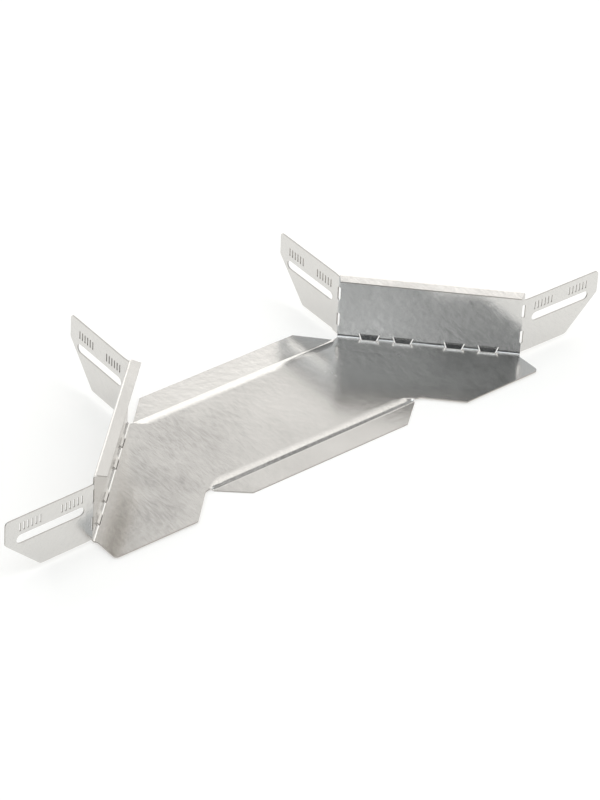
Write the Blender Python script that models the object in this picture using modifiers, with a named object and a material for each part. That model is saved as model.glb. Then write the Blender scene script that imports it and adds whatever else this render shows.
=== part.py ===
"""Cable tray tee, folded from one galvanised sheet.

X runs along the main tray, +Y points out along the branch, +Z is up.
Z = 0 is the underside of the two lips, the lowest faces of the part.
The flat blank is drawn first, then folded line by line, then mirrored in X.
In the blank Y = 0 is the line where the back lip starts; at the end the part is
shifted so that the origin lies halfway between its front and back ends.
"""

import math
from typing import NamedTuple

import bmesh
import bpy
from mathutils import Vector

MM = 0.001

# Sheet and floor
SHEET = 1.0 * MM
FOLD_CORNER_Y = -0.6 * MM
WALL_RUN = 101.0 * MM
FRONT_SET_BACK = 1.9 * MM
HORN_DEPTH = 25.1 * MM
HORN_SIDE_INSET = 1.1 * MM
HORN_GAP = 6.7 * MM
HORN_CORNER_RADIUS = 3.5 * MM
HORN_SHOULDER = 1.3 * MM

# Side wall and its top flange
SIDE_HEIGHT = 60.0 * MM
WALL_BEND_RADIUS = 2.0 * MM
WALL_BEND_ANGLE = math.radians(92.0)
FLANGE_BEND_RADIUS = 1.2 * MM
FLANGE_REACH = 9.4 * MM
FLANGE_END_INSET = 1.8 * MM
FLANGE_BEND_ANGLE = math.radians(95.0)

# Lips that lap the two neighbouring trays
LIP_DROP = 1.5 * MM
STEP_START = 10.0 * MM
STEP_STEEP = 3.2 * MM
STEP_END = 1.0 * MM
STEP_MARGIN = 0.8 * MM
GENTLE_SHARE = 0.28
LIP_HALF_INNER = 94.5 * MM
BACK_LIP_SLANT = 21.5 * MM
BACK_LIP_DEPTH = 23.5 * MM
FRONT_LIP_SLANT = 21.9 * MM
FRONT_LIP_DEPTH = 19.4 * MM
LIP_SHOULDER = 1.0 * MM
NOTCH_RADIUS = 1.9 * MM
NOTCH_SET_IN = 0.2 * MM
BACK_NOTCH_END = 310.0
FRONT_NOTCH_START = 60.0
FADE_AT_EDGE = 2.0 * MM
FADE_AT_START = 7.0 * MM

# Relief slits along the foot of the wall
RELIEF_OFFSETS = (-46.5 * MM, -20.0 * MM, 20.0 * MM, 46.5 * MM)
RELIEF_TOP_HALF = 7.6 * MM
RELIEF_FOOT_HALF = 5.4 * MM
RELIEF_TOP = 5.2 * MM
RELIEF_KERF = 0.8 * MM
TONGUE_TURN = math.radians(24.0)
TONGUE_BEND_RADIUS = 3.5 * MM

# Coupling tabs at both ends of the wall
TAB_BEND_RADIUS = 1.2 * MM
BACK_ROOT_TURN = math.radians(49.5)
BACK_LAST_TURN = math.radians(-4.5)
FRONT_ROOT_TURN = math.radians(41.0)
FRONT_LAST_TURN = math.radians(3.0)
STRIP_LENGTH = 6.5 * MM
STRIP_FOOT = 3.1 * MM
TAB_LENGTH = 68.2 * MM
TAB_END_HEIGHT = 19.8 * MM
TAB_SLANT_RUN = 30.0 * MM
TAB_CORNER_RADIUS = 3.0 * MM
TAB_FOOT_RADIUS = 0.5 * MM
BACK_TAB_BELOW_WALL = 2.8 * MM
BACK_TAB_FOOT = 4.2 * MM
BACK_TAB_DROOP = 0.010
FRONT_TAB_BELOW_WALL = 7.8 * MM
FRONT_TAB_FOOT = 3.1 * MM
FRONT_TAB_DROOP = 0.024

# Openings in the tabs: how far each is from the wall's bend, from the tab's tip and from its top
FOLD_SLOT_WIDTH = 2.3 * MM
FOLD_SLOT_LENGTH = 12.4 * MM
FOLD_SLOT_LOW = 17.0 * MM
FOLD_SLOT_PITCH = 24.6 * MM
LONG_SLOT_START = 1.5 * MM
LONG_SLOT_FROM_TIP = 9.4 * MM
LONG_SLOT_HEIGHT = 7.8 * MM
LONG_SLOT_BELOW_WALL = 26.9 * MM
TICK_WIDTH = 1.3 * MM
TICK_HEIGHT = 7.0 * MM
BACK_TICK_BELOW_TOP = 12.0 * MM
FRONT_TICK_BELOW_TOP = 8.5 * MM
TICK_PITCH = 3.4 * MM
TICK_COUNT = 6
FIRST_TICKS = 12.3 * MM
LAST_TICKS_FROM_TIP = 20.8 * MM

# Facets: steps of each bend, and of each quarter of a round corner
WALL_BEND_STEPS = 5
FLANGE_BEND_STEPS = 5
ROOT_BEND_STEPS = 3
TAB_BEND_STEPS = 2
TONGUE_BEND_STEPS = 3
CORNER_STEPS = 4
SLOT_END_STEPS = 8
TAB_CORNER_STEPS = 2
GENTLE_STEPS = 4
STEEP_STEPS = 5
FADE_STEPS = 9
SLOPE_SPAN = 0.02 * MM
WELD = 1e-7
SHARP_ANGLE = math.radians(25.0)

GALVANISED = (0.62, 0.62, 0.60, 1.0)
GALVANISED_ROUGHNESS = 0.34

# Values that follow from the sizes above
HALF_SHEET = SHEET / 2
TINY = SHEET / 100
DIAGONAL = math.sqrt(0.5)
ALONG = Vector((DIAGONAL, -DIAGONAL))
OUTWARD = Vector((DIAGONAL, DIAGONAL))
WALL_LENGTH = WALL_RUN / DIAGONAL
WALL_MID_RADIUS = WALL_BEND_RADIUS + HALF_SHEET
WALL_BEND_LENGTH = WALL_BEND_ANGLE * WALL_MID_RADIUS
FLANGE_MID_RADIUS = FLANGE_BEND_RADIUS + HALF_SHEET
FLANGE_BEND_LENGTH = FLANGE_BEND_ANGLE * FLANGE_MID_RADIUS
TAB_MID_RADIUS = TAB_BEND_RADIUS + HALF_SHEET
TONGUE_MID_RADIUS = TONGUE_BEND_RADIUS + HALF_SHEET
TONGUE_BEND_LENGTH = TONGUE_TURN * TONGUE_MID_RADIUS
FLOOR_MIDDLE = LIP_DROP + HALF_SHEET
FOLD_CORNER = Vector((LIP_HALF_INNER + 2 * NOTCH_RADIUS, FOLD_CORNER_Y))
FRONT_LINE = WALL_RUN - FOLD_CORNER_Y - FRONT_SET_BACK
HORN_SIDE = FOLD_CORNER.x + WALL_RUN - HORN_SIDE_INSET
HORN_FRONT = FRONT_LINE + HORN_DEPTH
HORN_INNER = LIP_HALF_INNER + HORN_GAP + HORN_DEPTH
BACK_TAB_TOP = SIDE_HEIGHT - BACK_TAB_BELOW_WALL
FRONT_TAB_TOP = SIDE_HEIGHT - FRONT_TAB_BELOW_WALL
LONG_SLOT_END = TAB_LENGTH - LONG_SLOT_FROM_TIP
LONG_SLOT_MIDDLE = SIDE_HEIGHT - LONG_SLOT_BELOW_WALL
TICK_GROUPS = (FIRST_TICKS, TAB_LENGTH - LAST_TICKS_FROM_TIP)


def developed(height):
    """Distance past the wall's bend line, in the blank, of a height over the floor's underside."""
    return height - WALL_BEND_RADIUS - SHEET + WALL_BEND_LENGTH


FLANGE_START = developed(SIDE_HEIGHT - FLANGE_BEND_RADIUS - SHEET)
FLANGE_EDGE = FLANGE_START + FLANGE_BEND_LENGTH + FLANGE_REACH - SHEET - FLANGE_BEND_RADIUS
RELIEF_TOP_OUT = developed(RELIEF_TOP)
STRIP_FOOT_OUT = developed(STRIP_FOOT)


class Tab(NamedTuple):
    """One coupling tab: where the wall ends, which way along it the tab runs, its turns and heights."""

    wall_end: float
    sign: float
    root_turn: float
    last_turn: float
    droop: float
    top: float
    foot: float
    tick_middle: float

    def root_bend(self):
        """Length of sheet in the bend at the wall's end."""
        return self.root_turn * TAB_MID_RADIUS

    def last_bend(self):
        """Length of sheet in the slight bend between the strip and the tab."""
        return abs(self.last_turn) * TAB_MID_RADIUS

    def place(self, past, height):
        """A point of the tab in the blank: distance past the wall's end, and height before it droops."""
        return blank_point(self.wall_end + self.sign * past, developed(height) - self.droop * past)


BACK_TAB = Tab(
    wall_end=0.0,
    sign=-1.0,
    root_turn=BACK_ROOT_TURN,
    last_turn=BACK_LAST_TURN,
    droop=BACK_TAB_DROOP,
    top=BACK_TAB_TOP,
    foot=BACK_TAB_FOOT,
    tick_middle=BACK_TAB_TOP - BACK_TICK_BELOW_TOP,
)
FRONT_TAB = Tab(
    wall_end=WALL_LENGTH,
    sign=1.0,
    root_turn=FRONT_ROOT_TURN,
    last_turn=FRONT_LAST_TURN,
    droop=FRONT_TAB_DROOP,
    top=FRONT_TAB_TOP,
    foot=FRONT_TAB_FOOT,
    tick_middle=FRONT_TAB_TOP - FRONT_TICK_BELOW_TOP,
)


def blank_point(along, out):
    """A point of the wall's part of the blank: distance along the wall, and out past its bend line."""
    return FOLD_CORNER + along * ALONG + out * OUTWARD


def arc(centre, radius, first, last, steps):
    """Points on an arc between two angles in degrees."""
    points = []
    for step in range(steps + 1):
        angle = math.radians(first + (last - first) * step / steps)
        points.append(centre + radius * Vector((math.cos(angle), math.sin(angle))))
    return points


def rounded(corner, before, after, radius, steps):
    """The arc that rounds a corner between the straight edges to its two neighbours."""
    to_before = (before - corner).normalized()
    to_after = (after - corner).normalized()
    half_angle = to_before.angle(to_after) / 2
    set_back = radius / math.tan(half_angle)
    centre = corner + (to_before + to_after).normalized() * radius / math.sin(half_angle)
    start = corner + to_before * set_back - centre
    end = corner + to_after * set_back - centre
    turn = math.atan2(start.x * end.y - start.y * end.x, start.dot(end))
    first = math.degrees(math.atan2(start.y, start.x))
    return arc(centre, radius, first, first + math.degrees(turn), steps)


def tab_outline(tab):
    """Blank points of a tab from its lower root round to its upper root."""
    tip = STRIP_LENGTH + TAB_LENGTH
    foot = Vector((STRIP_LENGTH, tab.foot))
    slant = Vector((tip - TAB_SLANT_RUN, tab.foot))
    low_tip = Vector((tip, tab.top - TAB_END_HEIGHT))
    high_tip = Vector((tip, tab.top))
    upper_root = Vector((0.0, tab.top))
    strip_foot = Vector((STRIP_LENGTH, STRIP_FOOT))
    points = [Vector((0.0, STRIP_FOOT))]
    if tab.foot > STRIP_FOOT + 2 * TAB_FOOT_RADIUS:
        points += rounded(strip_foot, points[0], foot, TAB_FOOT_RADIUS, TAB_CORNER_STEPS)
        points += rounded(foot, strip_foot, slant, TAB_FOOT_RADIUS, TAB_CORNER_STEPS)
    points += rounded(slant, foot, low_tip, TAB_CORNER_RADIUS, TAB_CORNER_STEPS)
    points += rounded(low_tip, slant, high_tip, TAB_CORNER_RADIUS, TAB_CORNER_STEPS)
    points += rounded(high_tip, low_tip, upper_root, TAB_CORNER_RADIUS, CORNER_STEPS)
    points.append(upper_root)
    return [tab.place(point.x, point.y) for point in points]


def half_outline():
    """Outer edge of the right half of the blank, from the back lip's middle to the front lip's middle."""
    points = [
        Vector((0.0, BACK_LIP_DEPTH)),
        Vector((LIP_HALF_INNER - BACK_LIP_SLANT, BACK_LIP_DEPTH)),
        Vector((LIP_HALF_INNER, LIP_SHOULDER)),
    ]
    notch = Vector((LIP_HALF_INNER + NOTCH_RADIUS, LIP_SHOULDER - NOTCH_SET_IN))
    points += arc(notch, NOTCH_RADIUS, 180.0, BACK_NOTCH_END, SLOT_END_STEPS)
    points.append(blank_point(0.0, 0.0))
    points += tab_outline(BACK_TAB)
    points.append(blank_point(0.0, FLANGE_START))
    points.append(blank_point(FLANGE_END_INSET, FLANGE_EDGE))
    points.append(blank_point(WALL_LENGTH - FLANGE_END_INSET, FLANGE_EDGE))
    points.append(blank_point(WALL_LENGTH, FLANGE_START))
    points += reversed(tab_outline(FRONT_TAB))
    points.append(blank_point(WALL_LENGTH, 0.0))
    side_top = Vector((HORN_SIDE, points[-1].y - HORN_SHOULDER))
    tip = Vector((HORN_SIDE, -HORN_FRONT))
    inner = Vector((HORN_INNER, -HORN_FRONT))
    points.append(side_top)
    points += rounded(tip, side_top, inner, HORN_CORNER_RADIUS, CORNER_STEPS)
    points.append(inner)
    shoulder = Vector((LIP_HALF_INNER, -FRONT_LINE - LIP_SHOULDER))
    points.append(inner + HORN_DEPTH * Vector((-1.0, 1.0)))
    notch = shoulder + Vector((NOTCH_RADIUS, NOTCH_SET_IN))
    points += arc(notch, NOTCH_RADIUS, FRONT_NOTCH_START, 180.0, SLOT_END_STEPS)
    points.append(shoulder)
    lip_end = -FRONT_LINE - FRONT_LIP_DEPTH
    points.append(Vector((LIP_HALF_INNER - FRONT_LIP_SLANT, lip_end)))
    points.append(Vector((0.0, lip_end)))
    return points


def slot(tab, middle_past, middle_height, length_along, length_up):
    """A slot with round ends in a tab, longer one way than the other."""
    radius = min(length_along, length_up) / 2
    reach_along = length_along / 2 - radius
    reach_up = length_up / 2 - radius
    lying = length_along > length_up
    first = 90.0 if lying else 180.0
    points = []
    for sign in (-1.0, 1.0):
        centre = Vector((sign * reach_along, sign * reach_up))
        start = first if sign < 0.0 else first + 180.0
        points += arc(centre, radius, start, start + 180.0, SLOT_END_STEPS)
    return [tab.place(middle_past + point.x, middle_height + point.y) for point in points]


def rectangle(tab, middle_past, middle_height, length_along, length_up):
    """A plain rectangular opening in a tab."""
    points = []
    for side, up in ((-1, -1), (1, -1), (1, 1), (-1, 1)):
        past = middle_past + side * length_along / 2
        points.append(tab.place(past, middle_height + up * length_up / 2))
    return points


def relief_slit(middle_along):
    """The slit round a relief tongue: down one slanted side, along the foot, up the other side."""
    outer_top = RELIEF_TOP_HALF + RELIEF_KERF
    outer_foot = RELIEF_FOOT_HALF + RELIEF_KERF
    corners = (
        (-outer_top, RELIEF_TOP_OUT),
        (-outer_foot, 0.0),
        (outer_foot, 0.0),
        (outer_top, RELIEF_TOP_OUT),
        (RELIEF_TOP_HALF, RELIEF_TOP_OUT),
        (RELIEF_FOOT_HALF, RELIEF_KERF),
        (-RELIEF_FOOT_HALF, RELIEF_KERF),
        (-RELIEF_TOP_HALF, RELIEF_TOP_OUT),
    )
    return [blank_point(middle_along + along, out) for along, out in corners]


def tab_openings(tab):
    """Fold slots, long slot and the two rows of narrow openings of one tab."""
    holes = []
    for height in (FOLD_SLOT_LOW, FOLD_SLOT_LOW + FOLD_SLOT_PITCH):
        holes.append(slot(tab, 0.0, height, FOLD_SLOT_WIDTH, FOLD_SLOT_LENGTH))
    long_length = LONG_SLOT_END - LONG_SLOT_START
    long_middle = STRIP_LENGTH + (LONG_SLOT_START + LONG_SLOT_END) / 2
    holes.append(slot(tab, long_middle, LONG_SLOT_MIDDLE, long_length, LONG_SLOT_HEIGHT))
    for group in TICK_GROUPS:
        for index in range(TICK_COUNT):
            past = STRIP_LENGTH + group + (index - (TICK_COUNT - 1) / 2) * TICK_PITCH
            holes.append(rectangle(tab, past, tab.tick_middle, TICK_WIDTH, TICK_HEIGHT))
    return holes


def add_spline(curve, points):
    """One closed outline of straight pieces in a 2D curve."""
    spline = curve.splines.new("POLY")
    spline.points.add(len(points) - 1)
    for target, point in zip(spline.points, points):
        target.co = (point.x, point.y, 0.0, 1.0)
    spline.use_cyclic_u = True


def half_blank():
    """Mesh of the right half of the flat blank, one sheet thick."""
    curve = bpy.data.curves.new("blank_outline", "CURVE")
    curve.dimensions = "2D"
    curve.fill_mode = "BOTH"
    curve.extrude = HALF_SHEET
    add_spline(curve, half_outline())
    for offset in RELIEF_OFFSETS:
        add_spline(curve, relief_slit(WALL_LENGTH / 2 + offset))
    for hole in tab_openings(BACK_TAB) + tab_openings(FRONT_TAB):
        add_spline(curve, hole)
    drawn = bpy.data.objects.new("blank_outline", curve)
    bpy.context.scene.collection.objects.link(drawn)
    graph = bpy.context.evaluated_depsgraph_get()
    mesh = bpy.data.meshes.new_from_object(drawn.evaluated_get(graph))
    bpy.data.objects.remove(drawn)
    return mesh


def wall_place(point):
    """Along and out distances of a point of the blank."""
    offset = Vector((point.x, point.y)) - FOLD_CORNER
    return offset.dot(ALONG), offset.dot(OUTWARD)


def score(sheet, origin, normal, wanted):
    """Cuts edges into the faces that pass a test, along the line through origin, square to normal."""
    faces = [face for face in sheet.faces if wanted(face.calc_center_median())]
    edges = {edge for face in faces for edge in face.edges}
    verts = {vert for face in faces for vert in face.verts}
    bmesh.ops.bisect_plane(
        sheet,
        geom=faces + list(edges) + list(verts),
        dist=WELD,
        plane_co=(origin.x, origin.y, 0.0),
        plane_no=(normal.x, normal.y, 0.0),
    )


def past_wall_bend(point):
    """True beyond the foot of the wall in the blank."""
    return wall_place(point)[1] > 0.0


def floor_side(point):
    """True on the floor, its horns and its lips in the blank."""
    return wall_place(point)[1] < 0.0


def score_bends(sheet):
    """Edges across each bend of the wall, the flange and both tabs."""
    score(sheet, FOLD_CORNER, OUTWARD, lambda point: True)
    for step in range(1, WALL_BEND_STEPS + 1):
        out = WALL_BEND_LENGTH * step / WALL_BEND_STEPS
        score(sheet, blank_point(0.0, out), OUTWARD, past_wall_bend)
    score(sheet, blank_point(0.0, RELIEF_TOP_OUT), OUTWARD, past_wall_bend)
    for step in range(1, TONGUE_BEND_STEPS + 1):
        out = RELIEF_TOP_OUT - TONGUE_BEND_LENGTH * step / TONGUE_BEND_STEPS
        score(sheet, blank_point(0.0, out), OUTWARD, lambda point: in_tongue(*wall_place(point)))
    for step in range(FLANGE_BEND_STEPS + 1):
        out = FLANGE_START + FLANGE_BEND_LENGTH * step / FLANGE_BEND_STEPS
        score(sheet, blank_point(0.0, out), OUTWARD, past_wall_bend)
    for tab in (BACK_TAB, FRONT_TAB):
        for step in range(ROOT_BEND_STEPS + 1):
            past = tab.root_bend() * (step / ROOT_BEND_STEPS - 0.5)
            score(sheet, blank_point(tab.wall_end + tab.sign * past, 0.0), ALONG, past_wall_bend)
        for step in range(TAB_BEND_STEPS + 1):
            past = STRIP_LENGTH + tab.last_bend() * (step / TAB_BEND_STEPS - 0.5)
            score(sheet, blank_point(tab.wall_end + tab.sign * past, 0.0), ALONG, past_wall_bend)


def score_steps(sheet):
    """Edges across the step down to each lip, and the cross edges where the step fades out."""
    gentle_run = STEP_START - STEP_STEEP
    steep_run = STEP_STEEP + STEP_END
    gentle = [STEP_START - gentle_run * step / GENTLE_STEPS for step in range(GENTLE_STEPS)]
    steep = [STEP_STEEP - steep_run * step / STEEP_STEPS for step in range(STEEP_STEPS + 1)]
    for inside in gentle + steep:
        score(sheet, Vector((0.0, -inside)), Vector((0.0, 1.0)), floor_side)
        score(sheet, Vector((0.0, inside - FRONT_LINE)), Vector((0.0, 1.0)), floor_side)

    def near_step(point):
        return floor_side(point) and step_depth(point) is not None

    outer = LIP_HALF_INNER + FADE_AT_EDGE
    inner = outer - STEP_START - FADE_AT_START
    for step in range(FADE_STEPS + 1):
        across = outer + (inner - outer) * step / FADE_STEPS
        score(sheet, Vector((across, 0.0)), Vector((1.0, 0.0)), near_step)


def step_depth(point):
    """How far a point is past the inner end of a lip's step, or None away from both steps."""
    back = point.y + STEP_START
    front = STEP_START - FRONT_LINE - point.y
    depth = max(back, front)
    return depth if depth > 0.0 else None


def smooth(share):
    """Eases from 0 to 1."""
    share = min(max(share, 0.0), 1.0)
    return share * share * (3.0 - 2.0 * share)


def step_fall(x, depth):
    """Fall of the floor a distance past the start of the step: a gentle part, then a steep part."""
    gentle_run = STEP_START - STEP_STEEP
    steep_run = STEP_STEEP + STEP_END
    gentle = min(max(depth / gentle_run, 0.0), 1.0) ** 2
    steep = smooth((depth - gentle_run) / steep_run)
    fall = LIP_DROP * (GENTLE_SHARE * gentle + (1.0 - GENTLE_SHARE) * steep)
    inside = max(STEP_START - STEP_MARGIN - depth, 0.0)
    end = LIP_HALF_INNER + FADE_AT_EDGE - inside
    fade = FADE_AT_EDGE + (FADE_AT_START - FADE_AT_EDGE) * inside / STEP_START
    return fall * smooth((end - x) / fade)


def bend(run, rise, angle, radius):
    """Bends a strip from run 0 on, towards positive rise; radius is that of the middle of the sheet."""
    if run <= 0.0:
        return run, rise
    if angle < 0.0:
        run, rise = bend(run, -rise, -angle, radius)
        return run, -rise
    if run < radius * angle:
        turned = run / radius
        return (radius - rise) * math.sin(turned), radius - (radius - rise) * math.cos(turned)
    return past_bend(run, rise, angle, radius)


def past_bend(run, rise, angle, radius):
    """Place of a point on the straight part that follows a bend, carried on straight below it too."""
    beyond = run - radius * angle
    new_run = (radius - rise) * math.sin(angle) + beyond * math.cos(angle)
    new_rise = radius - (radius - rise) * math.cos(angle) + beyond * math.sin(angle)
    return new_run, new_rise


def in_tongue(along, out):
    """True on a relief tongue, which is pressed in from the wall until it meets the floor's edge."""
    if out < RELIEF_KERF / 2 or out > RELIEF_TOP_OUT - TINY:
        return False
    share = (out - RELIEF_KERF) / (RELIEF_TOP_OUT - RELIEF_KERF)
    half = RELIEF_FOOT_HALF + (RELIEF_TOP_HALF - RELIEF_FOOT_HALF) * share
    limit = half + RELIEF_KERF / 4
    return any(abs(along - WALL_LENGTH / 2 - offset) < limit for offset in RELIEF_OFFSETS)


def fold_tab(along, rise, tab):
    """Turns a tab outwards at its two bends: along is measured in the blank, rise is over mid sheet."""
    start = STRIP_LENGTH - tab.last_bend() / 2
    run = tab.sign * (along - tab.wall_end)
    past, away = bend(run - start, -rise, tab.last_turn, TAB_MID_RADIUS)
    run = past + start
    start = -tab.root_bend() / 2
    past, away = bend(run - start, away, tab.root_turn, TAB_MID_RADIUS)
    return tab.wall_end + tab.sign * (past + start), -away


def tab_at(along, out):
    """The tab that a point of the wall's part of the blank belongs to, or None on the wall itself."""
    for tab in (BACK_TAB, FRONT_TAB):
        past = tab.sign * (along - tab.wall_end)
        in_root = past > -tab.root_bend() and out > STRIP_FOOT_OUT - TINY
        if past > TINY or in_root:
            return tab
    return None


def fold_wall(along, out, rise):
    """Place of a point of the wall's part of the blank after all of its bends."""
    tab = tab_at(along, out)
    pressed = in_tongue(along, out)
    if out > FLANGE_START + TINY:
        past, rise = bend(out - FLANGE_START, rise, FLANGE_BEND_ANGLE, FLANGE_MID_RADIUS)
        out = past + FLANGE_START
    elif tab:
        along, rise = fold_tab(along, rise, tab)
    elif pressed:
        past, rise = bend(RELIEF_TOP_OUT - out, rise, TONGUE_TURN, TONGUE_MID_RADIUS)
        out = RELIEF_TOP_OUT - past
    if tab or pressed:
        return along, *past_bend(out, rise, WALL_BEND_ANGLE, WALL_MID_RADIUS)
    return along, *bend(out, rise, WALL_BEND_ANGLE, WALL_MID_RADIUS)


def fold_floor(point, rise):
    """Place of a point of the floor: the sheet keeps its thickness through the step."""
    depth = step_depth(point)
    if depth is None:
        return point.x, point.y, rise
    sign = 1.0 if point.y > -FRONT_LINE / 2 else -1.0
    fall = step_fall(point.x, depth)
    ahead = step_fall(point.x, depth + SLOPE_SPAN / 2)
    behind = step_fall(point.x, depth - SLOPE_SPAN / 2)
    slope = (ahead - behind) / SLOPE_SPAN
    stretch = math.sqrt(1.0 + slope * slope)
    return point.x, point.y + sign * rise * slope / stretch, rise / stretch - fall


def fold(sheet):
    """Moves every vertex of the flat blank to its place on the folded part."""
    for vert in sheet.verts:
        along, out = wall_place(vert.co)
        if out > 0.0:
            along, out, rise = fold_wall(along, out, vert.co.z)
            flat = blank_point(along, out)
            vert.co = (flat.x, flat.y, rise + FLOOR_MIDDLE)
        else:
            x, y, rise = fold_floor(vert.co, vert.co.z)
            vert.co = (x, y, rise + FLOOR_MIDDLE)


def centre(sheet):
    """Shifts the part along Y so that the origin is halfway between its front and back ends."""
    rows = [vert.co.y for vert in sheet.verts]
    middle = (min(rows) + max(rows)) / 2
    for vert in sheet.verts:
        vert.co.y -= middle


def galvanised_steel():
    """Zinc-coated steel sheet."""
    material = bpy.data.materials.new("galvanised_sheet")
    material.use_nodes = True
    shader = material.node_tree.nodes["Principled BSDF"]
    shader.inputs["Base Color"].default_value = GALVANISED
    shader.inputs["Metallic"].default_value = 1.0
    shader.inputs["Roughness"].default_value = GALVANISED_ROUGHNESS
    return material


def clear_scene():
    for item in list(bpy.data.objects):
        bpy.data.objects.remove(item)


def new_collection(name):
    collection = bpy.data.collections.new(name)
    bpy.context.scene.collection.children.link(collection)
    return collection


def folded_sheet(collection):
    """The whole part: the folded right half and its mirror image, joined at X = 0."""
    mesh = half_blank()
    sheet = bmesh.new()
    sheet.from_mesh(mesh)
    bmesh.ops.remove_doubles(sheet, verts=sheet.verts, dist=WELD)
    seam = [face for face in sheet.faces if all(abs(vert.co.x) < WELD for vert in face.verts)]
    bmesh.ops.delete(sheet, geom=seam, context="FACES")
    score_bends(sheet)
    score_steps(sheet)
    fold(sheet)
    centre(sheet)
    bmesh.ops.triangulate(sheet, faces=sheet.faces)
    bmesh.ops.recalc_face_normals(sheet, faces=sheet.faces)
    sheet.to_mesh(mesh)
    sheet.free()
    mesh.name = "tee_sheet"
    mesh.materials.append(galvanised_steel())
    part = bpy.data.objects.new("tee_sheet", mesh)
    collection.objects.link(part)
    mirror = part.modifiers.new("other_half", "MIRROR")
    mirror.merge_threshold = 10 * WELD
    mesh.shade_smooth()
    mesh.set_sharp_from_angle(angle=SHARP_ANGLE)
    return part


def main():
    clear_scene()
    collection = new_collection("cable_tray_tee")
    folded_sheet(collection)


main()
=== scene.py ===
"""Cable tray tee: the folded sheet with its zinc finish, and the plain studio it is shown in.

The sheet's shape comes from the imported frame. The visible sheet is a copy of it with its bends
shaded round, its cut edges broken, and a map of the flat blank it was folded from, so that the
rolling grain runs through every fold as it does on the real part.
"""

import math

import bmesh
import bpy
import numpy as np
from bpy.props import FloatProperty, FloatVectorProperty, PointerProperty
from bpy.types import Operator, Panel, PropertyGroup
from mathutils import Matrix, Vector


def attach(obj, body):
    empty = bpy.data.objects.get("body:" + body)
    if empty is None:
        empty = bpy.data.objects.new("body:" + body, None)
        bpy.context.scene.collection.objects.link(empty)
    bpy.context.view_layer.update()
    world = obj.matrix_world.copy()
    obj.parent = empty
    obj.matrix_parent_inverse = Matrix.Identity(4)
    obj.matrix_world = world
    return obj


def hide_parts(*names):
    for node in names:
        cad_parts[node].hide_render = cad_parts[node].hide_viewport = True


bl_info = {
    "name": "Cable Tray Tee",
    "version": (1, 0, 0),
    "blender": (4, 5, 0),
    "location": "3D View > Sidebar > Tray Tee",
    "description": "Builds a folded sheet tee for a cable tray and the studio it is shown in",
    "category": "Add Mesh",
}

MM = 0.001
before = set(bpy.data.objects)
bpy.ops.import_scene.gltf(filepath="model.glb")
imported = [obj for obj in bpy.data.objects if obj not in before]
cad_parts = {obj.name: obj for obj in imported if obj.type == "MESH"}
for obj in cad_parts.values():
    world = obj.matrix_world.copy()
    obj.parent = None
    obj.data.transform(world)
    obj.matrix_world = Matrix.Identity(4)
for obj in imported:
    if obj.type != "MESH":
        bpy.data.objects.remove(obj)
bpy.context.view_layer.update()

# Where each side wall starts, and its direction along and away from the middle, on the right half.
WALL_START = np.array([0.0983, 0.0243])
WALL_ALONG = np.array([math.sqrt(0.5), -math.sqrt(0.5)])
WALL_AWAY = np.array([math.sqrt(0.5), math.sqrt(0.5)])
WALL_LENGTH = 0.1428
# The back lip's root and its edge, along the branch.
BACK_LIP = (0.0262, 0.0480)
SHEET = 1.0 * MM

# How near two points of the mesh lie to be one, and how nearly level two faces are to be one.
WELD = 0.001 * MM
SAME_PLANE = math.radians(0.3)
# A fold sharper than this shows as an edge, and one sharper than the second is broken.
SHARP_EDGE = math.radians(25.0)
BROKEN_EDGE = math.radians(50.0)
# How far the short edges of a cut face may be from the sheet's thickness, and its least corners.
CUT_SPREAD = 0.02
CUT_CORNER = math.radians(45.0)

# The zinc's patterns: the size of each, and the depth of those that stand out of the surface.
STREAK_SHARE = 0.15
SPECK = 1.5 * MM
GRAIN_DEPTH = 0.014 * MM
DIMPLE = 6.0 * MM
DIMPLE_DEPTH = 0.06 * MM
CLOUD = 45.0 * MM
CLOUD_ROUGHNESS = 0.03
STREAK_ROUGHNESS = (-0.05, 0.04)
WAVE = 110.0 * MM
WAVE_DEPTH = 0.6 * MM
LIP_FALL = 0.5 * MM
# Below this height a point is on one of the two lips.
LIP_TOP = 1.5 * MM
# The tears of a cut edge.
TEAR = 0.4 * MM
TEAR_DEPTH = 0.03 * MM

# The share of its white that the card gives off to the camera and to mirrors.
CARD_GLOW = 0.43
LAMP_PLACE = (0.6, -1.2, 2.1)
LAMP_SIDE = 1.6
LAMP_POWER = 10.0


def linear(code):
    """A hex sRGB colour as linear red, green, blue and full alpha."""
    parts = np.array([int(code[i : i + 2], 16) for i in (1, 3, 5)]) / 255.0
    curve = np.where(parts <= 0.04045, parts / 12.92, ((parts + 0.055) / 1.055) ** 2.4)
    return (*curve.tolist(), 1.0)


def add_node(tree, kind, settings=None, links=None):
    """Adds a node, sets its properties and sockets by name, and links the sockets in links."""
    node = tree.nodes.new(kind)
    for name, value in (settings or {}).items():
        if isinstance(name, str) and hasattr(node, name):
            setattr(node, name, value)
        else:
            node.inputs[name].default_value = value
    for name, source in (links or {}).items():
        tree.links.new(source, node.inputs[name])
    return node


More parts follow.
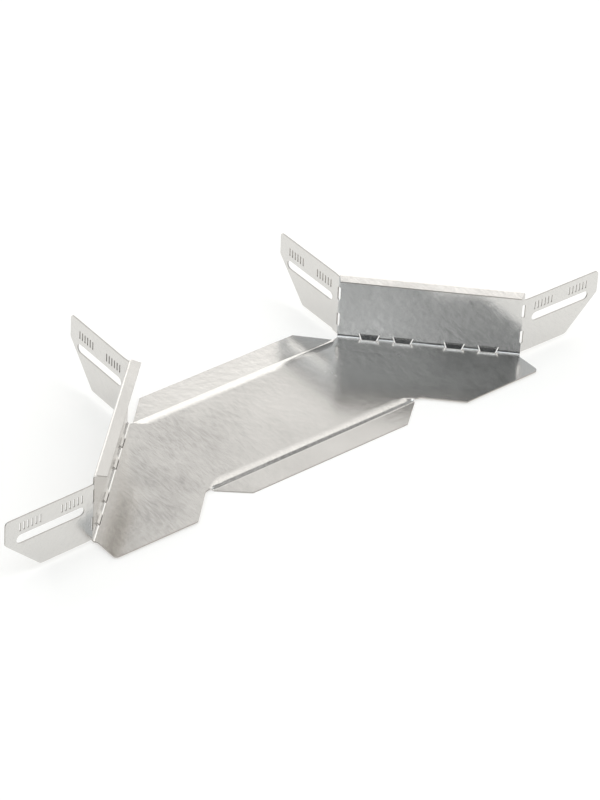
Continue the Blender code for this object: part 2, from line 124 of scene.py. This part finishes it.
class TrayTeeFinish(PropertyGroup):
    """Colours, sheen and edges of the zinc-coated sheet."""

    zinc: FloatVectorProperty(
        name="Zinc",
        description="Colour of the bright zinc coat",
        default=linear("#DCDAD7"),
        subtype="COLOR",
        size=4,
        min=0.0,
        max=1.0,
    )
    dull_zinc: FloatVectorProperty(
        name="Dull Zinc",
        description="Colour of the duller clouds of the zinc coat",
        default=linear("#D7D5D2"),
        subtype="COLOR",
        size=4,
        min=0.0,
        max=1.0,
    )
    roughness: FloatProperty(
        name="Roughness",
        description="Mean roughness of the rolled surface",
        default=0.21,
        min=0.0,
        max=1.0,
    )
    grain_width: FloatProperty(
        name="Grain Width",
        description="Width of one streak of the rolling grain",
        default=1.5 * MM,
        min=0.1 * MM,
        unit="LENGTH",
    )
    edge_break: FloatProperty(
        name="Edge Break",
        description="Width of the broken edge along every cut",
        default=0.12 * MM,
        min=0.0,
        unit="LENGTH",
    )


class TrayTeeStage(PropertyGroup):
    """Camera and room."""

    camera_place: FloatVectorProperty(
        name="Camera Place",
        description="Where the camera stands",
        default=(-1.12643, -1.44445, 1.32448),
        subtype="TRANSLATION",
        unit="LENGTH",
    )
    camera_heading: FloatProperty(
        name="Heading",
        description="Direction the camera faces, from +Y towards +X",
        default=0.681,
        subtype="ANGLE",
        unit="ROTATION",
    )
    camera_dip: FloatProperty(
        name="Dip",
        description="How far the camera looks down",
        default=0.6264,
        subtype="ANGLE",
        unit="ROTATION",
    )
    camera_roll: FloatProperty(
        name="Roll",
        description="Turn of the camera about its own view line",
        default=0.0393,
        subtype="ANGLE",
        unit="ROTATION",
    )
    camera_lens: FloatProperty(
        name="Lens",
        description="Focal length of the camera in millimetres",
        default=134.05,
        min=10.0,
    )
    floor_size: FloatProperty(
        name="Floor Size",
        description="Side of the square floor",
        default=10.0,
        min=1.0,
        unit="LENGTH",
    )


def zinc_sheet_material(finish):
    """Strip-galvanised sheet steel, passed through finishing rolls.

    The rolls flatten the zinc, so it mirrors softly. Long fine streaks follow the rolling
    direction, small dull specks are what is left of the zinc's crystals, and the sheet is
    never quite flat, which bends the reflections a little.
    """
    material = bpy.data.materials.new("strip_galvanised_zinc")
    material.use_nodes = True
    tree = material.node_tree
    tree.nodes.clear()
    blank = add_node(tree, "ShaderNodeUVMap", {"uv_map": "blank"}).outputs["UV"]
    # The map is in metres. One streak is grain_width wide and about seven times as long, and it
    # runs along the branch, which is read as the way the strip was rolled.
    streaks_at = add_node(
        tree,
        "ShaderNodeMapping",
        {"Scale": (1.0 / finish.grain_width, STREAK_SHARE / finish.grain_width, 1.0)},
        {"Vector": blank},
    ).outputs["Vector"]
    streaks = add_node(
        tree,
        "ShaderNodeTexNoise",
        {"Scale": 1.0, "Detail": 3.0, "Roughness": 0.6},
        {"Vector": streaks_at},
    ).outputs["Fac"]
    specks = add_node(
        tree,
        "ShaderNodeTexNoise",
        {"Scale": 1.0 / SPECK, "Detail": 2.0, "Roughness": 0.6},
        {"Vector": blank},
    ).outputs["Fac"]
    dimples = add_node(
        tree,
        "ShaderNodeTexNoise",
        {"Scale": 1.0 / DIMPLE, "Detail": 1.0},
        {"Vector": blank},
    ).outputs["Fac"]
    clouds = add_node(
        tree,
        "ShaderNodeTexNoise",
        {"Scale": 1.0 / CLOUD, "Detail": 2.0},
        {"Vector": blank},
    ).outputs["Fac"]
    waves = add_node(
        tree,
        "ShaderNodeTexNoise",
        {"Scale": 1.0 / WAVE, "Detail": 0.0},
        {"Vector": blank},
    ).outputs["Fac"]
    both = add_node(
        tree,
        "ShaderNodeMath",
        {"operation": "ADD"},
        {0: streaks, 1: specks},
    ).outputs[0]
    dull = add_node(
        tree,
        "ShaderNodeMapRange",
        {"From Min": 0.8, "From Max": 1.3},
        {"Value": both},
    ).outputs["Result"]
    colour = add_node(
        tree,
        "ShaderNodeMix",
        {"data_type": "RGBA", 6: tuple(finish.zinc), 7: tuple(finish.dull_zinc)},
        {0: dull},
    ).outputs[2]
    cloudy = add_node(
        tree,
        "ShaderNodeMapRange",
        {
            "From Min": 0.3,
            "From Max": 0.7,
            "To Min": -CLOUD_ROUGHNESS,
            "To Max": CLOUD_ROUGHNESS,
        },
        {"Value": clouds},
    ).outputs["Result"]
    streaky = add_node(
        tree,
        "ShaderNodeMapRange",
        {
            "From Min": 0.3,
            "From Max": 0.7,
            "To Min": finish.roughness + STREAK_ROUGHNESS[0],
            "To Max": finish.roughness + STREAK_ROUGHNESS[1],
        },
        {"Value": streaks},
    ).outputs["Result"]
    rough = add_node(
        tree,
        "ShaderNodeMath",
        {"operation": "ADD"},
        {0: cloudy, 1: streaky},
    ).outputs[0]
    # The back lip falls a little towards its edge.
    place = add_node(tree, "ShaderNodeTexCoord").outputs["Object"]
    place = add_node(tree, "ShaderNodeSeparateXYZ", links={"Vector": place}).outputs
    fall = add_node(
        tree,
        "ShaderNodeMapRange",
        {"From Min": BACK_LIP[0], "From Max": BACK_LIP[1], "To Min": 1.0, "To Max": 0.0},
        {"Value": place["Y"]},
    ).outputs["Result"]
    low = add_node(
        tree,
        "ShaderNodeMath",
        {"operation": "LESS_THAN", 1: LIP_TOP},
        {0: place["Z"]},
    ).outputs[0]
    fall = add_node(tree, "ShaderNodeMath", {"operation": "MULTIPLY"}, {0: fall, 1: low}).outputs[0]
    fallen = add_node(
        tree,
        "ShaderNodeBump",
        {"Strength": 1.0, "Distance": LIP_FALL},
        {"Height": fall},
    ).outputs["Normal"]
    wavy = add_node(
        tree,
        "ShaderNodeBump",
        {"Strength": 1.0, "Distance": WAVE_DEPTH},
        {"Height": waves, "Normal": fallen},
    ).outputs["Normal"]
    dimpled = add_node(
        tree,
        "ShaderNodeBump",
        {"Strength": 1.0, "Distance": DIMPLE_DEPTH},
        {"Height": dimples, "Normal": wavy},
    ).outputs["Normal"]
    grained = add_node(
        tree,
        "ShaderNodeBump",
        {"Strength": 1.0, "Distance": GRAIN_DEPTH},
        {"Height": both, "Normal": dimpled},
    ).outputs["Normal"]
    shader = add_node(
        tree,
        "ShaderNodeBsdfPrincipled",
        {"Metallic": 1.0},
        {"Base Color": colour, "Roughness": rough, "Normal": grained},
    )
    add_node(tree, "ShaderNodeOutputMaterial", links={"Surface": shader.outputs["BSDF"]})
    return material


def sheared_edge_material():
    """Bare steel of the cut edges, as the press left it: grey, half torn and half rubbed smooth.

    The upper half of a cut is rubbed bright by the tool and the lower half is torn and matt, so
    the edge looks darker and duller than the zinc.
    """
    material = bpy.data.materials.new("sheared_steel_edge")
    material.use_nodes = True
    tree = material.node_tree
    tree.nodes.clear()
    place = add_node(tree, "ShaderNodeTexCoord").outputs["Object"]
    tears = add_node(
        tree,
        "ShaderNodeTexNoise",
        {"Scale": 1.0 / TEAR, "Detail": 2.0},
        {"Vector": place},
    ).outputs["Fac"]
    colour = add_node(
        tree,
        "ShaderNodeMix",
        {"data_type": "RGBA", 6: linear("#A09B95"), 7: linear("#C4C0BB")},
        {0: tears},
    ).outputs[2]
    rough = add_node(
        tree,
        "ShaderNodeMapRange",
        {"To Min": 0.35, "To Max": 0.6},
        {"Value": tears},
    ).outputs["Result"]
    torn = add_node(
        tree,
        "ShaderNodeBump",
        {"Strength": 1.0, "Distance": TEAR_DEPTH},
        {"Height": tears},
    ).outputs["Normal"]
    shader = add_node(
        tree,
        "ShaderNodeBsdfPrincipled",
        {"Metallic": 1.0},
        {"Base Color": colour, "Roughness": rough, "Normal": torn},
    )
    add_node(tree, "ShaderNodeOutputMaterial", links={"Surface": shader.outputs["BSDF"]})
    return material


def is_cut(face):
    """A cut face is no wider than the sheet is thick, two of its edges are just as long as that,
    and all the others are square corners."""
    spread = CUT_SPREAD * SHEET
    across = [edge for edge in face.edges if abs(edge.calc_length() - SHEET) < spread]
    corners = [edge.calc_face_angle(0.0) for edge in face.edges if edge not in across]
    width = 2.0 * face.calc_area() / face.calc_perimeter()
    return len(across) > 1 and width < SHEET and min(corners, default=0.0) > CUT_CORNER


def map_blank(mesh):
    """Lays the sheet out flat again as a UV map, in metres.

    A face that lies near level keeps its x and y. A face of a side wall goes to the wall's start
    plus its distance along the wall times the wall's direction plus its height times the way out.
    A face of a coupling tab is the same, with its distance from the wall's end added to the wall.
    The left half is the right half's mirror image.
    """
    count = len(mesh.loops)
    index = np.empty(count, dtype=np.int32)
    mesh.loops.foreach_get("vertex_index", index)
    points = np.empty(len(mesh.vertices) * 3)
    mesh.vertices.foreach_get("co", points)
    points = points.reshape(-1, 3)[index]
    totals = np.empty(len(mesh.polygons), dtype=np.int32)
    mesh.polygons.foreach_get("loop_total", totals)
    normals = np.empty(len(mesh.polygons) * 3)
    mesh.polygons.foreach_get("normal", normals)
    normals = np.repeat(normals.reshape(-1, 3), totals, axis=0)
    side = np.where(points[:, 0] < 0.0, -1.0, 1.0)
    half = points[:, :2] * np.stack([side, np.ones(count)], axis=1)
    offset = half - WALL_START
    along = offset @ WALL_ALONG
    away = offset @ WALL_AWAY
    facing = np.abs((normals[:, 0] * side + normals[:, 1]) * math.sqrt(0.5))
    level = np.abs(normals[:, 2]) > 0.7
    wall = ~level & (facing > 0.9)
    past_end = np.hypot(along - WALL_LENGTH, away) + WALL_LENGTH
    before_start = -np.hypot(along, away)
    tab_along = np.where(along > WALL_LENGTH / 2, past_end, before_start)
    run = np.where(wall, along, tab_along)
    height = points[:, 2:3]
    folded = WALL_START + run[:, None] * WALL_ALONG + height * WALL_AWAY
    flat = np.where(level[:, None], half, folded)
    flat[:, 0] *= side
    layer = mesh.uv_layers.new(name="blank")
    layer.uv.foreach_set("vector", flat.astype(np.float32).ravel())


def merged_copy(node_name, piece_name):
    """A copy of a CAD node, its loose triangles joined, and those in one plane made one face."""
    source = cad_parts[node_name]
    mesh = bpy.data.meshes.new(piece_name)
    sheet = bmesh.new()
    sheet.from_mesh(source.data)
    bmesh.ops.remove_doubles(sheet, verts=sheet.verts, dist=WELD)
    bmesh.ops.dissolve_degenerate(sheet, edges=sheet.edges, dist=WELD)
    bmesh.ops.dissolve_limit(
        sheet,
        angle_limit=SAME_PLANE,
        verts=sheet.verts,
        edges=sheet.edges,
        delimit={"NORMAL"},
    )
    for face in sheet.faces:
        face.material_index = int(is_cut(face))
    sheet.to_mesh(mesh)
    sheet.free()
    piece = bpy.data.objects.new(piece_name, mesh)
    bpy.context.scene.collection.objects.link(piece)
    return piece


class TRAYTEE_OT_sheet(Operator):
    """Build the folded sheet with its rounded bends, broken edges and zinc finish"""

    bl_idname = "tray_tee.sheet"
    bl_label = "Folded Sheet"

    def execute(self, context):
        finish = context.scene.tray_tee_finish
        piece = merged_copy("tee_sheet", "folded_zinc_sheet")
        mesh = piece.data
        mesh.shade_smooth()
        mesh.set_sharp_from_angle(angle=SHARP_EDGE)
        map_blank(mesh)
        mesh.materials.append(zinc_sheet_material(finish))
        mesh.materials.append(sheared_edge_material())
        edge = piece.modifiers.new("broken_edges", "BEVEL")
        edge.width = finish.edge_break
        edge.segments = 2
        edge.limit_method = "ANGLE"
        edge.angle_limit = BROKEN_EDGE
        settle = piece.modifiers.new("flat_faces_stay_flat", "WEIGHTED_NORMAL")
        settle.keep_sharp = True
        settle.weight = 100
        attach(piece, "root")
        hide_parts("tee_sheet")
        return {"FINISHED"}


def flat_grid(name, side, count):
    """A level square grid at height 0: x and y both run from -side / 2 to side / 2."""
    share = np.linspace(-side / 2, side / 2, count)
    x, y = np.meshgrid(share, share, indexing="ij")
    points = np.stack([x, y, np.zeros_like(x)], axis=-1).reshape(-1, 3)
    index = np.arange(count * count).reshape(count, count)
    quads = np.stack([index[:-1, :-1], index[1:, :-1], index[1:, 1:], index[:-1, 1:]], axis=-1)
    mesh = bpy.data.meshes.new(name)
    mesh.from_pydata(points.tolist(), [], quads.reshape(-1, 4).tolist())
    made = bpy.data.objects.new(name, mesh)
    bpy.context.scene.collection.objects.link(made)
    return made


def white_card_material():
    """Matt white card.

    It shows white to the camera and to the mirrors of the part, and still takes the shadow.
    """
    material = bpy.data.materials.new("matt_white_card")
    material.use_nodes = True
    tree = material.node_tree
    tree.nodes.clear()
    ray = add_node(tree, "ShaderNodeLightPath").outputs
    seen = add_node(
        tree,
        "ShaderNodeMath",
        {"operation": "MAXIMUM"},
        {0: ray["Is Camera Ray"], 1: ray["Is Glossy Ray"]},
    ).outputs[0]
    seen = add_node(
        tree,
        "ShaderNodeMath",
        {"operation": "MAXIMUM"},
        {0: seen, 1: ray["Is Transmission Ray"]},
    ).outputs[0]
    glow = add_node(
        tree,
        "ShaderNodeMath",
        {"operation": "MULTIPLY", 1: CARD_GLOW},
        {0: seen},
    ).outputs[0]
    matt = add_node(tree, "ShaderNodeBsdfDiffuse", {"Color": linear("#CCCBC8")})
    light = add_node(
        tree,
        "ShaderNodeEmission",
        {"Color": linear("#FFFDFB")},
        {"Strength": glow},
    )
    both = add_node(
        tree,
        "ShaderNodeAddShader",
        links={0: matt.outputs[0], 1: light.outputs[0]},
    )
    add_node(tree, "ShaderNodeOutputMaterial", links={"Surface": both.outputs[0]})
    return material


# Brightness of the room by the sine of the height over the horizon: (height, level) pairs for
# its four quarters and the far right of the front, which all end alike overhead. Two bright
# panels at the back leave a dimmer gap between them, and the front is dark to the right of where
# the camera stands.
OVERHEAD = ((0.95, 2.2), (0.965, 2.2), (0.98, 1.1), (1.0, 1.0))
BACK_LEFT = (
    (0.0, 1.2),
    (0.20, 1.7),
    (0.52, 1.7),
    (0.575, 0.3),
    (0.64, 0.32),
    (0.69, 0.9),
    (0.77, 1.65),
    (0.80, 0.3),
    (0.89, 0.3),
) + OVERHEAD
BACK_RIGHT = (
    (0.0, 1.2),
    (0.20, 1.7),
    (0.52, 1.7),
    (0.575, 0.72),
    (0.64, 0.82),
    (0.69, 1.3),
    (0.77, 1.65),
    (0.80, 0.2),
    (0.89, 0.2),
) + OVERHEAD
FRONT_LEFT = (
    (0.0, 0.08),
    (0.20, 0.12),
    (0.45, 0.3),
    (0.53, 0.7),
    (0.62, 1.7),
    (0.72, 1.7),
    (0.78, 0.7),
    (0.84, 0.3),
    (0.89, 0.3),
) + OVERHEAD
FRONT_RIGHT = (
    (0.0, 0.03),
    (0.50, 0.03),
    (0.62, 0.06),
    (0.72, 0.5),
    (0.78, 0.4),
    (0.84, 0.2),
    (0.89, 0.2),
) + OVERHEAD
FRONT_FAR_RIGHT = (
    (0.0, 0.8),
    (0.50, 0.9),
    (0.72, 0.9),
    (0.80, 0.4),
    (0.89, 0.4),
) + OVERHEAD
# The ramps hold the levels as shares of the brightest that they can hold.
BRIGHTEST = 4.0
BACK_TINT = (1.01, 1.0, 0.98)
FRONT_TINT = (0.94, 1.0, 1.05)
# Level directions away from the camera and to its right.
WAY_BACK = (0.63, 0.777, 0.0)
WAY_RIGHT = (0.777, -0.63, 0.0)
# How far to the right, as a sine, the left quarters end and the right ones begin.
BACK_CHANGE = (-0.07, -0.01)
FRONT_CHANGE = (-0.185, -0.15)
# And where the dark of the front ends, farther to the right.
FRONT_END = (0.12, 0.26)
# How far towards the back, as a cosine, the front gives way to the back.
BACK_START = (0.4, 0.9)


def height_profile(tree, height, levels, tint):
    """Brightness that follows (height, level) pairs, straight between them, times a tint."""
    ramp = add_node(tree, "ShaderNodeValToRGB", links={"Fac": height})
    stops = ramp.color_ramp.elements
    while len(stops) < len(levels):
        stops.new(0.5)
    for stop, (place, level) in zip(stops, levels):
        stop.position = place
        stop.color = (*(level * part / BRIGHTEST for part in tint), 1.0)
    return ramp.outputs["Color"]


def side_mix(tree, aside, change, left, right):
    """The left profile, going smoothly over to the right one."""
    share = add_node(
        tree,
        "ShaderNodeMapRange",
        {"interpolation_type": "SMOOTHSTEP", "From Min": change[0], "From Max": change[1]},
        {"Value": aside},
    ).outputs["Result"]
    return add_node(
        tree,
        "ShaderNodeMix",
        {"data_type": "RGBA"},
        {0: share, 6: left, 7: right},
    ).outputs[2]


def room_world():
    """A softly lit white room, bright behind the part and dim in front of it."""
    world = bpy.data.worlds.new("white_room")
    bpy.context.scene.world = world
    world.use_nodes = True
    tree = world.node_tree
    tree.nodes.clear()
    way = add_node(tree, "ShaderNodeTexCoord").outputs["Generated"]
    height = add_node(tree, "ShaderNodeSeparateXYZ", links={"Vector": way}).outputs["Z"]
    flat = add_node(
        tree,
        "ShaderNodeVectorMath",
        {"operation": "MULTIPLY", 1: (1.0, 1.0, 0.0)},
        {0: way},
    ).outputs["Vector"]
    flat = add_node(
        tree,
        "ShaderNodeVectorMath",
        {"operation": "NORMALIZE"},
        {0: flat},
    ).outputs["Vector"]
    facing = add_node(
        tree,
        "ShaderNodeVectorMath",
        {"operation": "DOT_PRODUCT", 1: WAY_BACK},
        {0: flat},
    ).outputs["Value"]
    aside = add_node(
        tree,
        "ShaderNodeVectorMath",
        {"operation": "DOT_PRODUCT", 1: WAY_RIGHT},
        {0: flat},
    ).outputs["Value"]
    front = side_mix(
        tree,
        aside,
        FRONT_CHANGE,
        height_profile(tree, height, FRONT_LEFT, FRONT_TINT),
        height_profile(tree, height, FRONT_RIGHT, FRONT_TINT),
    )
    front = side_mix(
        tree,
        aside,
        FRONT_END,
        front,
        height_profile(tree, height, FRONT_FAR_RIGHT, FRONT_TINT),
    )
    back = side_mix(
        tree,
        aside,
        BACK_CHANGE,
        height_profile(tree, height, BACK_LEFT, BACK_TINT),
        height_profile(tree, height, BACK_RIGHT, BACK_TINT),
    )
    towards_back = add_node(
        tree,
        "ShaderNodeMapRange",
        {
            "interpolation_type": "SMOOTHSTEP",
            "From Min": BACK_START[0],
            "From Max": BACK_START[1],
        },
        {"Value": facing},
    ).outputs["Result"]
    level = add_node(
        tree,
        "ShaderNodeMix",
        {"data_type": "RGBA"},
        {0: towards_back, 6: front, 7: back},
    ).outputs[2]
    light = add_node(tree, "ShaderNodeBackground", {"Strength": BRIGHTEST}, {"Color": level})
    add_node(tree, "ShaderNodeOutputWorld", links={"Surface": light.outputs[0]})


def front_lamp(place, side, power):
    """A square soft lamp that lights the floor from over the camera, and isn't mirrored."""
    data = bpy.data.lights.new("front_lamp", "AREA")
    data.shape = "SQUARE"
    data.size = side
    data.energy = power
    lamp = bpy.data.objects.new("front_lamp", data)
    lamp.location = place
    lamp.rotation_euler = (-Vector(place)).to_track_quat("-Z", "Y").to_euler()
    lamp.visible_glossy = False
    bpy.context.scene.collection.objects.link(lamp)


def aim_camera(stage):
    """Camera at the stage's place: heading about Z, then dip, then roll about the view line."""
    data = bpy.data.cameras.new("camera")
    data.lens = stage.camera_lens
    data.clip_start = 0.05
    data.clip_end = 50.0
    camera = bpy.data.objects.new("camera", data)
    bpy.context.scene.collection.objects.link(camera)
    camera.matrix_world = (
        Matrix.Translation(stage.camera_place)
        @ Matrix.Rotation(-stage.camera_heading, 4, "Z")
        @ Matrix.Rotation(math.pi / 2 - stage.camera_dip, 4, "X")
        @ Matrix.Rotation(stage.camera_roll, 4, "Z")
    )
    bpy.context.scene.camera = camera


class TRAYTEE_OT_stage(Operator):
    """Build the floor, the room's light and the camera"""

    bl_idname = "tray_tee.stage"
    bl_label = "Studio"

    def execute(self, context):
        stage = context.scene.tray_tee_stage
        floor = flat_grid("floor", stage.floor_size, 5)
        floor.data.materials.append(white_card_material())
        room_world()
        front_lamp(LAMP_PLACE, LAMP_SIDE, LAMP_POWER)
        aim_camera(stage)
        context.scene.view_settings.view_transform = "Standard"
        return {"FINISHED"}


class TRAYTEE_PT_panel(Panel):
    """Sizes, colours and build buttons of the tray tee"""

    bl_idname = "TRAYTEE_PT_panel"
    bl_label = "Cable Tray Tee"
    bl_space_type = "VIEW_3D"
    bl_region_type = "UI"
    bl_category = "Tray Tee"

    def draw(self, context):
        layout = self.layout
        for group in (context.scene.tray_tee_finish, context.scene.tray_tee_stage):
            for name in group.__annotations__:
                layout.prop(group, name)
        layout.operator("tray_tee.sheet")
        layout.operator("tray_tee.stage")


CLASSES = (TrayTeeFinish, TrayTeeStage, TRAYTEE_OT_sheet, TRAYTEE_OT_stage, TRAYTEE_PT_panel)


def register():
    for item in CLASSES:
        bpy.utils.register_class(item)
    bpy.types.Scene.tray_tee_finish = PointerProperty(type=TrayTeeFinish)
    bpy.types.Scene.tray_tee_stage = PointerProperty(type=TrayTeeStage)


def unregister():
    del bpy.types.Scene.tray_tee_stage
    del bpy.types.Scene.tray_tee_finish
    for item in reversed(CLASSES):
        bpy.utils.unregister_class(item)


def main():
    register()
    bpy.ops.tray_tee.sheet()
    bpy.ops.tray_tee.stage()


if __name__ == "__main__":
    main()
